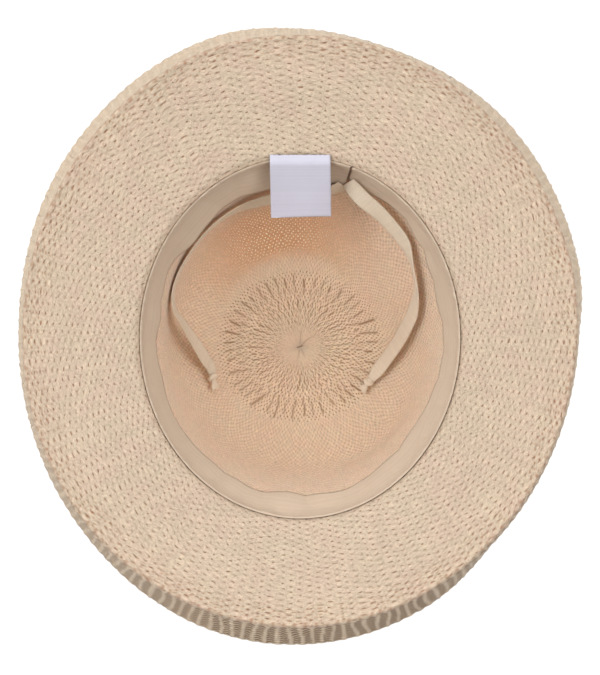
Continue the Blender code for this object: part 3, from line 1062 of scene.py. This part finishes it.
@dataclass
class RimBand:
    """Ribbed band past the crease.

    Attributes:
        shape: The hat's shape.
        ribs: Ribs round it.
        columns: Columns of points round it.
        bars: Fine cross bars from the crease to its edge.
        fine: Points to a bar.
        back_rows: Rows of points on its hidden face.
        relief: Height of the ribs.
        hem: Roundness of its edge.
        shaded_side: Azimuth round which the painted shade in the gaps between its ribs is darkest.
        shaded_side_spread: How far from there the gaps keep their painted shade, in degrees.
    """

    shape: HatShape
    ribs: int = 166
    columns: int = 996
    bars: int = 11
    fine: int = 4
    back_rows: int = 13
    relief: float = 0.00055
    hem: float = 0.0015
    shaded_side: float = 175.0
    shaded_side_spread: float = 120.0

    @property
    def start(self) -> float:
        """Length of cloth past the brim's edge at which the band is seen."""
        return self.shape.crease_tab * 0.6

    def bar_at(self, length: Array) -> Array:
        """Count of cross bars up to lengths of cloth."""
        return (length - self.start) / (self.shape.rim_depth - self.start) * self.bars

    def build(self) -> Piece:
        """Make the band's mesh."""
        shape = self.shape
        azimuth = round_azimuths(self.columns)[:, None]
        end = shape.rim_depth - self.hem
        length = np.linspace(self.start, end, self.bars * self.fine + 1)[None, :]
        rib = azimuth / FULL_TURN * self.ribs + 0.10 * Drift(21, 40, 60)(azimuth, length)
        bar = self.bar_at(length) + 0.15 * Drift(22, 50, 90)(azimuth, length)
        ridge = np.abs(np.cos(math.pi * rib)) ** 5.0
        valley = 1 - ramp(ridge, 0.15, 0.75)
        rung = 0.5 + 0.5 * np.cos(math.tau * (bar + 0.22 * np.cos(2 * math.tau * rib)))
        size = 1 + 0.25 * scatter(23, rib + 0.5, bar, self.ribs)
        raised = self.relief * (ridge * size - 0.6)
        raised = raised + (0.00015 + 0.00035 * valley) * (rung - 0.5)
        raised = raised * ramp(length, self.start, self.start + 0.008) - self.relief * 0.7
        outer = shape.rim_point(azimuth, length, raised)
        turn = np.linspace(0.0, math.pi, 7)[None, 1:-1]
        top = raised[:, -1:]
        hem_raised = top + (-shape.rim_thickness - top) * (0.5 - 0.5 * np.cos(turn))
        hem = shape.rim_point(azimuth, end + self.hem * np.sin(turn), hem_raised)
        back = np.linspace(end, self.start, self.back_rows)[None, :]
        soft = 0.0003 * np.abs(np.cos(math.pi * azimuth / FULL_TURN * self.ribs))
        inner = shape.rim_point(azimuth, back, -shape.rim_thickness + soft)
        loops = np.concatenate([outer, hem, inner], axis=1)[:-1]
        bars = np.concatenate([bar, np.full_like(hem_raised, self.bars),
                               self.bar_at(back) + 0 * azimuth, bar[:, :1]], axis=1)
        # Painted shade: the gaps between the ribs and the bars are darkened, most on the front, which
        # lies in shade.
        painted_side_shade = 0.08 + 0.92 * swell(turn_between(azimuth, self.shaded_side), self.shaded_side_spread)
        painted_hollow_shade = np.clip((0.25 + 0.90 * valley) * (1 - 0.85 * rung) * painted_side_shade, 0, 1)[:-1]
        unseen = loops.shape[1] - painted_hollow_shade.shape[1]
        marks = {"painted_hollow_shade": np.pad(painted_hollow_shade, ((0, 0), (0, unseen)))}
        return make_piece("rim_rib_cloth", Patch(loops, stitch_map(rib[:, :1], bars), True, marks))

    def dress(self, piece: Piece, finish: Finish) -> None:
        """Put the knit on the band."""
        settle(piece, finish, "rim_band")


@dataclass
class Crown:
    """Knitted crown with a gathered tip.

    Attributes:
        shape: The hat's shape.
        wales: Stitches round its wall, an even number.
        columns: Columns of points round it.
        tip_rows: Rows of points over the tip's inside.
        wall_rows: Rows of points up the wall's inside.
        course: Height of a course of its wall.
        tip_shift: How far in front of the axis the tip is gathered.
        soften: How often the fold from the tip to the wall is smoothed.
        outside_step: Rows of the inside to a row of the outside.
        slit_slant: Slant of the slit in the tip's middle, in degrees.
        glow: Azimuth of the most painted light coming through its wall, on yarn painted in shade.
        painted_backlight_spread: How far from there the painted light and shade reach, in degrees.
    """

    shape: HatShape
    wales: int = 332
    columns: int = 528
    tip_rows: int = 78
    wall_rows: int = 62
    course: float = 0.0036
    tip_shift: float = 0.0024
    soften: int = 14
    outside_step: int = 3
    slit_slant: float = 20.0
    glow: float = 348.0
    painted_backlight_spread: float = 68.0

    def build(self) -> Piece:
        """Make the crown's mesh."""
        shape = self.shape
        azimuth = round_azimuths(self.columns)[None, :]
        share = (0.004 + 0.996 * np.linspace(0.0, 1.0, self.tip_rows)**1.25)[:, None]
        tip = polar(azimuth, shape.crown_radius(azimuth, 0.0) * share, 0.0 * share)
        tip[..., 1] -= self.tip_shift * (1 - share**2)
        height = self._wall_heights()[:, None]
        wall = polar(azimuth, shape.crown_radius(azimuth, height), height)
        outer = np.concatenate([tip, wall], axis=0)[:, :-1]
        for _ in range(self.soften):
            outer[1:-1] = 0.25 * outer[:-2] + 0.5 * outer[1:-1] + 0.25 * outer[2:]
        normal = surface_normals(outer, ring=False)
        normal *= np.sign(-normal[self.tip_rows // 2, :, 2].mean())
        inner = outer - normal * shape.crown_wall
        run = run_of(np.linalg.norm(np.diff(inner, axis=0), axis=-1).mean(1))[:, None]
        rows = (run - run[self.tip_rows - 1]) / self.course + 0 * azimuth
        wale = azimuth / FULL_TURN * self.wales + 0.12 * Drift(31, 60, 1.0)(azimuth, rows / 20)
        stitches = stitch_map(wale, rows + 0.12 * Drift(32, 60, 1.0)(azimuth, rows / 20))
        relief, painted_hollow_shade = self._tip_relief(inner)
        inside = inner - normal * relief[..., None]
        skip = np.arange(len(outer) - 1, -1, -self.outside_step)
        outside = outer[skip] + normal[skip] * np.minimum(0.35 * relief[skip], 0.0)[..., None]
        outside[..., 2] = np.maximum(outside[..., 2], 0.0)
        # Marks for the material: painted shade, the tip's zones, and painted backlight with painted
        # shade on the back wall.
        marks = {name: np.concatenate([value, outside_share * value[skip]])
                 for name, value, outside_share in (
                     ("painted_hollow_shade", painted_hollow_shade, 0.5), ("tip", self._tip_mask(inner), 1.0),
                     ("painted_backlight_and_shade", self._painted_backlight_and_shade(azimuth[:, :-1], inner), 0.0))}
        return make_piece("crown_knit_cloth", Patch(
            np.concatenate([inside, outside]), np.concatenate([stitches, stitches[skip]]),
            marks=marks))

    def _wall_heights(self) -> Array:
        """Heights of the wall's rows, evenly spaced along the cloth."""
        height = np.linspace(0.0, self.shape.crown_top, 400)
        radius = self.shape.crown_radius(np.full(400, 200.0), height)
        run = run_of(np.hypot(np.diff(height), np.diff(radius)))
        return np.interp(np.linspace(0.0, run[-1], self.wall_rows + 1)[1:], run, height)

    def _tip_distance(self, points: Array) -> Array:
        """Distance from the tip's middle, its rounds a little wider than long."""
        return np.hypot(points[..., 0] / 1.06, (points[..., 1] + self.tip_shift) / 0.97)

    def _tip_mask(self, points: Array) -> Array:
        """0 on the wall, a half more inside each of the tip's zones and at its middle."""
        distance = self._tip_distance(points)
        zones = sum(0.5 * (distance < edge) for edge in TIP_ZONES)
        return zones + 0.5 * (1 - ramp(distance, 0.0070, 0.0135))

    def _tip_relief(self, points: Array) -> tuple[Array, Array]:
        """Height of the gathers over the inner face, and their painted shade from 0 to 1."""
        x, y = points[..., 0], points[..., 1] + self.tip_shift
        distance = self._tip_distance(points)
        angle = np.degrees(np.arctan2(x, y))
        angle = angle + 0.8 * Drift(41, 12, 30)(angle, distance)
        distance = distance + 0.0006 * Drift(42, 24, 30)(angle, distance)
        relief = np.zeros_like(distance)
        painted_hollow_shade = np.zeros_like(distance)
        for number, row in enumerate(TIP_ROUNDS):
            slot = angle / FULL_TURN * row.slots + row.turn
            span = row.outer - row.inner
            own = scatter(60 + number, slot + 0.5, 0 * slot, row.slots)
            draw = 0.78 + 0.22 * scatter(50 + number, slot + 0.5, 0 * slot, row.slots)
            lean = 0.16 * own * (distance - row.inner) / span
            narrow = (0.5 + 0.5 * np.cos(math.tau * (slot + lean))) ** row.sharp
            fade = min(0.0012, 0.35 * span)
            along = ramp(distance - 0.14 * span * own, row.inner, row.inner + fade)
            along *= 1 - ramp(distance + 0.20 * span * own * draw, row.outer - fade, row.outer)
            relief += row.depth * along * (0.30 * (1 - narrow) - narrow * draw)
            # Painted shade in the grooves between the long stitches.
            dark = min(1.0, row.depth / 0.00085)
            painted_hollow_shade = np.maximum(painted_hollow_shade, dark * narrow * along * draw)
        spokes = np.cos(np.radians(angle) * 23) + 0.7 * np.cos(np.radians(angle) * 9 + 1)
        relief += 0.00010 * spokes * bell(distance - 0.0045, 0.0028)
        slant = math.radians(self.slit_slant)
        beside = np.abs(x * math.cos(slant) + y * math.sin(slant))
        across = x * math.sin(slant) - y * math.cos(slant)
        slit = bell(across, 0.00035) * (1 - ramp(beside, 0.0012, 0.0022))
        lip = bell(across - 0.0009, 0.0006) * (1 - ramp(beside, 0.0008, 0.0022))
        relief += 0.0003 * lip - 0.0006 * slit
        # Painted shade in the slit.
        painted_hollow_shade = np.maximum(painted_hollow_shade, 0.85 * slit)
        for heading, reach in TIP_CREASES:
            off = turn_between(angle, heading + 900 * distance)
            along = ramp(distance, 0.001, 0.002) * (1 - ramp(distance, 0.6 * reach, reach))
            crease = bell(np.radians(off) * distance, 0.00035) * along
            relief -= 0.00030 * crease
            # Painted shade along the crease.
            painted_hollow_shade = np.maximum(painted_hollow_shade, 0.35 * crease)
        return relief, np.clip(painted_hollow_shade, 0.0, 1.0)

    def _painted_backlight_and_shade(self, azimuth: Array, points: Array) -> Array:
        """Where light coming through the knit is painted in the pits, with painted shade on the yarn
        round them: low on the back wall.
        """
        height = points[..., 2]
        low = ramp(height, 0.003, 0.008) * (1 - ramp(height, 0.030, 0.055))
        return swell(turn_between(azimuth, self.glow), self.painted_backlight_spread) * low

    def dress(self, piece: Piece, finish: Finish) -> None:
        """Put the knit on the crown."""
        settle(piece, finish, "crown")


@dataclass
class Sweatband:
    """Woven tape round the inside of the opening, its ends at a slot.

    Attributes:
        shape: The hat's shape.
        slot: Azimuth of the slot.
        slot_width: Width of the slot.
        thickness: Thickness of the tape.
        columns: Loops along it.
        rows: Points across it.
        top: Drop of its upper edge below the seam.
        tack: Azimuth at which it is tacked down.
        thread: Pitch of its threads.
        mean_radius: Radius that its threads are counted on.
        flat_length: Length of the tape laid flat; not used.
    """

    shape: HatShape
    slot: float = 16.8
    slot_width: float = 0.0012
    thickness: float = 0.0010
    columns: int = 900
    rows: int = 20
    top: float = 0.0002
    tack: float = 191.0
    thread: float = 0.00045
    mean_radius: float = 0.0895
    flat_length: float = 0.5585

    def build(self) -> Piece:
        """Make the band's mesh."""
        shape = self.shape
        half = math.degrees(self.slot_width / 2 / float(shape.seam_radius(self.slot)))
        azimuth = np.linspace(self.slot + half, self.slot + FULL_TURN - half, self.columns)[:, None]
        down = np.linspace(0.0, 1.0, self.rows)[None, :]
        drop = self.top + (shape.band_drop - self.top) * down
        drop = drop + 0.0007 * ramp(down, 0.5, 1.0) * Drift(61, 14, 0.0)(azimuth, 0 * down)
        ripple = 0.00055 * Drift(62, 22, 0.9)(azimuth, down) * ramp(down, 0.10, 0.55)
        fine = 0.00012 * Drift(63, 150, 0.4)(azimuth, down) * (1 - ramp(down, 0.05, 0.35))
        tack = 0.0012 * swell(turn_between(azimuth, self.tack), 3.5) * np.sin(math.pi * down)
        roll = 0.0007 * (1 - ramp(down, 0.0, 0.06))
        outer = shape.band_radius(azimuth, drop) - np.abs(ripple)
        height = shape.seam_height - drop
        seen = polar(azimuth, outer - self.thickness - fine - tack + roll, height)
        loops = np.concatenate([seen, polar(azimuth, outer, height)[:, ::-1]], axis=1)
        run = np.radians(azimuth) * self.mean_radius / self.thread
        return make_piece("sweatband_tape",
                          Patch(loops, stitch_map(run, face_and_back(drop / self.thread))))

    def dress(self, piece: Piece, finish: Finish) -> None:
        settle(piece, finish, "sweatband")


@dataclass
class Label:
    """Bare cloth tag sewn over the seam at the back.

    Attributes:
        shape: The hat's shape.
        width: Width of the tag.
        length: Length of the tag.
        thickness: Thickness of its cloth.
        tab: Length of its level end, and of the bend after it.
        lap: How far its sewn edge lies over the brim.
        pitch: How steeply it hangs, in degrees.
        thread: Pitch of its threads.
    """

    shape: HatShape
    width: float = 0.0317
    length: float = 0.0375
    thickness: float = 0.0005
    tab: float = 0.0030
    lap: float = 0.0008
    pitch: float = 37.0
    thread: float = 0.00030

    def seat(self) -> float:
        """Height of the brim's face under the corners of the label's sewn edge."""
        corner = (self.width / 2, self.shape.head_length / 2 + self.lap)
        azimuth = math.degrees(math.atan2(*corner))
        inner = float(self.shape.seam_radius(azimuth))
        radius, height = self.shape.crease_start(azimuth)
        share = (math.hypot(*corner) - inner) / (float(radius) - inner)
        return self.shape.seam_height + (float(height) - self.shape.seam_height) * share

    def line(self, along: Array) -> tuple[Array, Array]:
        """Run inwards and height of the label's middle line at shares of its length."""
        fine = np.linspace(0.0, 1.0, 400)
        step = self.length / (len(fine) - 1)
        pitch = np.radians(self.pitch * np.clip((fine * self.length - self.tab) / self.tab, 0, 1))
        run = run_of(np.cos(pitch[:-1]) * step)
        height = run_of(-np.sin(pitch[:-1]) * step)
        return np.interp(along, fine, run), np.interp(along, fine, height)

    def build(self) -> Piece:
        """Make the label's mesh."""
        down = np.linspace(0.0, 1.0, 48)[:, None]
        over = np.linspace(-0.5, 0.5, 30)[None, :]
        run, height = self.line(down)
        base = self.seat() + self.shape.clearance + self.thickness
        sag = -0.0009 * (over * 2) ** 2 * ramp(down, 0.15, 0.9)
        curl = 0.0007 * np.sin(2.2 * math.pi * over + 0.6) * ramp(down, 0.3, 1.0)
        fray = 0.00025 * np.sin(61 * over) * np.sin(23 * over + 1) * (1 - ramp(down, 0.0, 0.03))
        x = self.width * over * (1 + 0.012 * down) + 0.0006 * down
        y = self.shape.head_length / 2 + self.lap - run + fray + 0.0009 * over * ramp(down, 0.5, 1)
        face = np.stack(np.broadcast_arrays(x, y, base + height + sag + curl), -1)
        back = face - np.array([0.0, 0.0, self.thickness])
        loops = np.concatenate([face, back[:, ::-1]], axis=1)
        weft = down * self.length / self.thread
        return make_piece("label_cloth_tag",
                          Patch(loops, stitch_map(face_and_back(x / self.thread), weft)))

    def dress(self, piece: Piece, finish: Finish) -> None:
        settle(piece, finish, "label")


class Side(Enum):
    """Which of the drawstring's two free ends, as the camera sees them."""

    RIGHT = "right"
    LEFT = "left"


@dataclass
class Drawstring:
    """One free end of the flat ribbon, with the knot at its end.

    Attributes:
        side: Which end.
        route: Points of its middle line.
        length: Length from the slot to the knot; not used.
        width: Width of the ribbon.
        thickness: Thickness of the ribbon.
        fine: Points to a leg of the route.
        thread: Pitch of its threads.
        knot_length: Length of the knot with its tail.
    """

    side: Side
    route: Sequence[Route]
    length: float
    width: float = 0.0090
    thickness: float = 0.0006
    fine: int = 12
    thread: float = 0.00040
    knot_length: float = 0.0085

    def line(self) -> Array:
        """Route rows on a smooth curve through the chosen ones."""
        rows = np.array(self.route, float)
        ends = np.concatenate([rows[:1], rows, rows[-1:]])
        t = np.arange(self.fine)[:, None] / self.fine
        legs = [0.5 * (2 * b + (c - a) * t + (2 * a - 5 * b + 4 * c - d) * t**2
                       + (3 * b - a - 3 * c + d) * t**3)
                for a, b, c, d in zip(ends, ends[1:], ends[2:], ends[3:])]
        return np.concatenate(legs + [rows[-1:]])

    def axes(self, rows: Array) -> tuple[Array, Array, Array]:
        """Directions along, across and out of the ribbon's face at each row."""
        along = unit(np.gradient(rows[:, :3], axis=0))
        level = unit(np.cross(along, [0.0, 0.0, 1.0]))
        level *= np.sign(np.einsum("ij,ij->i", level, rows[:, :3]))[:, None]
        upward = np.cross(along, level)
        upward *= np.sign(upward[:, 2:])
        lean = np.radians(rows[:, 3:4])
        across = level * np.cos(lean) + upward * np.sin(lean)
        return along, across, unit(np.cross(along, across))

    def build(self) -> list[Piece]:
        """Make the ribbon's and the knot's meshes."""
        rows = self.line()
        points, spread = rows[:, :3], rows[:, 4:5]
        along, across, face = self.axes(rows)
        over = np.linspace(-0.5, 0.5, 13)[None, :]
        pleats = (1 - spread) * 0.0006 * np.cos(over * 3 * math.tau)
        cup = 0.0004 * (1 - (2 * over) ** 2) + pleats
        width = self.width * spread * over
        middle = points[:, None] + across[:, None] * width[..., None]
        middle = middle + face[:, None] * cup[..., None]
        half = face[:, None] * self.thickness / 2
        loops = np.concatenate([middle + half, (middle - half)[:, ::-1]], axis=1)
        run = run_of(np.linalg.norm(np.diff(points, axis=0), axis=-1))
        warp = face_and_back(self.width * over / self.thread)
        ribbon = make_piece(f"drawstring_{self.side.value}_ribbon",
                            Patch(loops, stitch_map(warp, (run / self.thread)[:, None])))
        return [ribbon, self._knot(points[-1], along[-1], across[-1], face[-1])]

    def _knot(self, here: Array, along: Array, across: Array, face: Array) -> Piece:
        """Tie the end: a gathered neck, a turn round it and a flared tail.

        Args:
            here: End of the ribbon's middle line.
            along: Direction along the ribbon.
            across: Direction across it.
            face: Direction out of its face.

        Returns:
            The knot's object.
        """
        share = np.linspace(0.0, 1.0, 34)[:, None]
        round_share = np.linspace(0.0, 1.0, 25)[None, :]
        angle = math.tau * round_share[:, :-1]
        half = np.interp(share, [0.0, 0.06, 0.18, 0.34, 0.46, 0.70, 1.0],
                         [0.0016, 0.0019, 0.0022, 0.0020, 0.0012, 0.0021, 0.0029])
        flat = np.interp(share, [0.0, 0.3, 0.5, 1.0], [0.75, 0.80, 0.70, 0.16])
        pleat = 1 + 0.10 * np.cos(5 * angle + 2 * share) * ramp(share, 0.45, 0.8)
        wide = half * pleat * np.cos(angle)
        deep = half * flat * pleat * np.sin(angle)
        deep = deep + 0.0005 * np.sin(2 * angle) * ramp(share, 0.55, 1.0)
        middle = (here + along * self.knot_length * share)[:, None]
        points = middle + across * wide[..., None] + face * deep[..., None]
        tail = Patch(points, stitch_map(self.width / self.thread * round_share,
                                        self.knot_length / self.thread * share))
        turn_share = np.linspace(0.0, 1.0, 41)[:, None]
        loop_share = np.linspace(0.0, 1.0, 15)[None, :]
        turn, loop_angle = math.tau * turn_share[:-1], math.tau * loop_share[:, :-1]
        ring_half = 0.0019 + 0.0011 * np.cos(loop_angle)
        centre = here + along * (0.23 * self.knot_length)
        ring = (centre + across * (ring_half * np.cos(turn))[..., None]
                + face * (ring_half * 0.85 * np.sin(turn))[..., None]
                + along * (0.0014 * np.sin(loop_angle) + 0.0009 * np.sin(turn))[..., None])
        wrap = Patch(ring, stitch_map(22 * turn_share, 16 * loop_share), True)
        return make_piece(f"drawstring_{self.side.value}_tied_end", tail, wrap)

    def dress(self, pieces: list[Piece], finish: Finish) -> None:
        ribbon, knot = pieces
        node = f"drawstring_{self.side.value}"
        settle(ribbon, finish, node)
        settle(knot, finish, f"{node}_knot")


# Camera, lights and floor


class Lamp(NamedTuple):
    """Round soft lamp: its name, place, size and power."""

    name: str
    place: tuple[float, float, float]
    size: float
    power: float


@dataclass(frozen=True)
class Studio:
    """Camera over the hat, soft light and a plain pale floor.

    Attributes:
        height: Distance of the camera from the seam's middle.
        tilt: Turn of the camera towards the hat's front, in degrees.
        lens: Focal length, in millimetres.
        floor_size: Half the floor's width.
        sky_front: Strength of the sky in front of the hat.
        sky_back: Strength behind it.
        sky_high: Strength overhead.
        lamps: A key from the back left and a wider fill from the right.
    """

    height: float = 1.25
    tilt: float = 1.6
    lens: float = 127.5
    floor_size: float = 3.0
    sky_front: float = 0.24
    sky_back: float = 1.28
    sky_high: float = 0.88
    lamps: tuple[Lamp, ...] = (Lamp("key", (-0.95, 0.18, 1.40), 0.70, 9.1),
                               Lamp("fill", (0.95, 0.00, 1.40), 1.00, 8.8))

    def place_camera(self, shape: HatShape) -> None:
        """Look down into the hat from a little towards its front."""
        data = bpy.data.cameras.new("Camera")
        data.sensor_fit = "VERTICAL"
        data.sensor_height = 36.0
        data.lens = self.lens
        camera = linked("Camera", data)
        tilt = math.radians(self.tilt)
        away = Vector((0.0, -math.sin(tilt), math.cos(tilt)))
        camera.location = Vector((0.0, 0.0, shape.seam_height)) + away * self.height
        camera.rotation_euler = (tilt, 0.0, 0.0)
        bpy.context.scene.camera = camera

    def lay_floor(self) -> None:
        """Pale floor that the hat lies on, and that the camera sees lit evenly."""
        mesh = bpy.data.meshes.new("studio_floor")
        s = self.floor_size
        mesh.from_pydata([(-s, -s, 0), (s, -s, 0), (s, s, 0), (-s, s, 0)], [], [(0, 1, 2, 3)])
        material, g, shader = new_material("studio_floor_paint")
        g.feed(shader, {"Base Color": (0.80, 0.80, 0.80), "Roughness": 0.9})
        glow = g.out("Emission", {"Color": (1.0, 1.0, 1.0), "Strength": 1.12})
        seen = g.out("LightPath", output="Is Camera Ray")
        lit = g.out("MixShader", {0: seen * 0.85, 1: Value(g, shader.outputs[0]), 2: glow})
        g.feed(material.node_tree.nodes["Material Output"], {"Surface": lit})
        mesh.materials.append(material)
        linked("studio_floor", mesh)

    def hang_lights(self) -> None:
        """Hang the lamps under a pale sky that is brighter at the back."""
        for lamp in self.lamps:
            data = bpy.data.lights.new(lamp.name, "AREA")
            data.shape = "DISK"
            data.size = lamp.size
            data.energy = lamp.power
            hung = linked(lamp.name, data)
            hung.location = lamp.place
            aim = Vector((0.0, 0.0, 0.08)) - Vector(lamp.place)
            hung.rotation_euler = aim.to_track_quat("-Z", "Y").to_euler()
        world = bpy.data.worlds.new("studio_sky")
        world.use_nodes = True
        g = Graph(world.node_tree)
        parts = g.parts(g.node("SeparateXYZ", {0: g.out("TexCoord")}))
        low = g.spread(parts["X"] * -0.5 + parts["Y"], -0.9, 0.9, self.sky_front, self.sky_back)
        strength = g.blended(g.spread(parts["Z"], 0.40, 0.95), low, self.sky_high)
        g.feed(world.node_tree.nodes["Background"],
               {"Strength": strength, "Color": (1.0, 0.985, 0.96)})
        bpy.context.scene.world = world
        bpy.context.scene.view_settings.view_transform = "Standard"


# The hat


def build_hat(shape: HatShape, effects: Effects) -> None:
    """Build and dress every sub-assembly, the drawstring first."""
    ribbon = TapeFinish("ribbon_weave", thread=(0.79, 0.67, 0.53), gap=(0.54, 0.43, 0.31),
                        roughness=0.55, depth=0.00010, mottle=0.08)
    brim = KnitFinish(
        "brim_knit_yarn", yarn=(0.562, 0.434, 0.334), cream=(0.557, 0.449, 0.336),
        pit=(0.29, 0.13, 0.06), pit_edge=0.72, pit_depth=0.00032, strands=3.0, mottle=0.05,
        pit_dark=0.95, grain=0.15, grain_round=3.6, grain_long=3.6, fluff=2.2, seam=0.30,
        painted_loop_highlight=0.10)
    rim = KnitFinish(
        "rim_knit_yarn", yarn=(0.59, 0.470, 0.350), cream=(0.59, 0.480, 0.360),
        pit=(0.14, 0.075, 0.034), pit_edge=0.95, pit_depth=0.0003, strands=2.0, mottle=0.06,
        seam=0.0, stray=0.0)
    crown = KnitFinish(
        "crown_knit_yarn", yarn=(0.762, 0.568, 0.420), cream=(0.752, 0.588, 0.433),
        pit=(0.33, 0.165, 0.07), pit_edge=0.42, pit_depth=0.00045, strands=2.0, mottle=0.02,
        pit_dark=0.40, grain=0.06, grain_round=2.0, grain_long=1.6, fluff=0.9, seam=0.15,
        through=0.25, stray=1.1, stray_scale=420.0, tip_wales=(264 / 332, 176 / 332))
    band = TapeFinish("sweatband_weave", thread=(0.62, 0.495, 0.38), gap=(0.47, 0.365, 0.265),
                      roughness=0.62, depth=0.00006, mottle=0.06)
    label = TapeFinish("label_weave", thread=(0.60, 0.59, 0.69), gap=(0.51, 0.50, 0.61),
                       roughness=0.6, depth=0.00004, mottle=0.04)
    woven = ribbon.material(effects)
    for side, route, length in ((Side.RIGHT, RIGHT_ROUTE, 0.1488), (Side.LEFT, LEFT_ROUTE, 0.1828)):
        drawstring = Drawstring(side, route, length)
        drawstring.dress(drawstring.build(), woven)
    for part, finish in ((Brim(shape), brim), (RimBand(shape), rim), (Crown(shape), crown),
                         (Sweatband(shape), band), (Label(shape), label)):
        part.dress(part.build(), finish.material(effects))


def main() -> None:
    """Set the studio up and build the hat."""
    logging.basicConfig(level=logging.INFO, format="%(name)s %(message)s")
    shape = HatShape()
    studio = Studio()
    studio.place_camera(shape)
    build_hat(shape, Effects())
    studio.lay_floor()
    studio.hang_lights()


if __name__ == "__main__":
    main()
